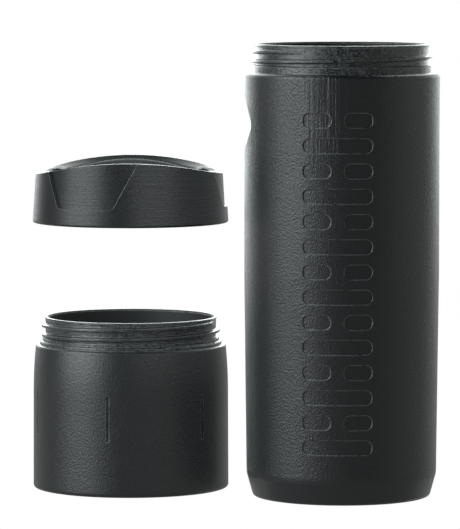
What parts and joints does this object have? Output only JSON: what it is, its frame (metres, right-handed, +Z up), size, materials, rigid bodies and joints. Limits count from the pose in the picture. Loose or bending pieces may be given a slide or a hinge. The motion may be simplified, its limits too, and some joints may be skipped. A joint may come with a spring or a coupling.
{
  "type": "bicycle tool canister",
  "caption": "Cylindrical screw-together storage canister for a bottle cage, taken apart into barrel, stacking upper compartment and finned screw lid.",
  "frame": {"origin": "middle of the bottle's flat base, on the bottle's axis, where it stands on the ground", "axes": "+Z up along the bottle's axis; +X to the bottle's side away from the cage dent, so that the dent and the upper compartment are towards -X; -Y is the side with the recessed bars"},
  "size_m": [0.1555, 0.1013, 0.1718],
  "materials": {
    "barrel_plastic": "fine leather-grain moulded polypropylene, satin",
    "cup_plastic": "fine leather-grain moulded polypropylene, satin",
    "lid_plastic": "fine leather-grain moulded polypropylene, satin",
    "seal_rubber": "smooth matt"
  },
  "bodies": {
    "bottle": {"bottle": "barrel_plastic"},
    "compartment": {"compartment_cup": "cup_plastic", "cup_seal": "seal_rubber"},
    "seal": {"lid_seal": "seal_rubber"},
    "lid": {"lid": "lid_plastic"}
  },
  "joints": [
    {"name": "cup_lift", "type": "slide", "parent": "bottle", "child": "compartment", "axis": [0, 0, 1], "range_m": [0, 0.185]},
    {"name": "lid_lift", "type": "slide", "parent": "compartment", "child": "seal", "axis": [0, 0, 1], "range_m": [-0.0468, 0]},
    {"name": "lid_turn", "type": "hinge", "parent": "seal", "child": "lid", "pos_m": [-0.0807, 0.0265, 0.1025], "axis": [0, 0, 1], "range_deg": [-4680, 0]}
  ],
  "couplings": [
    {"joint": "lid_turn", "follows": "lid_lift", "rad_per_m": 1745.3}
  ]
}
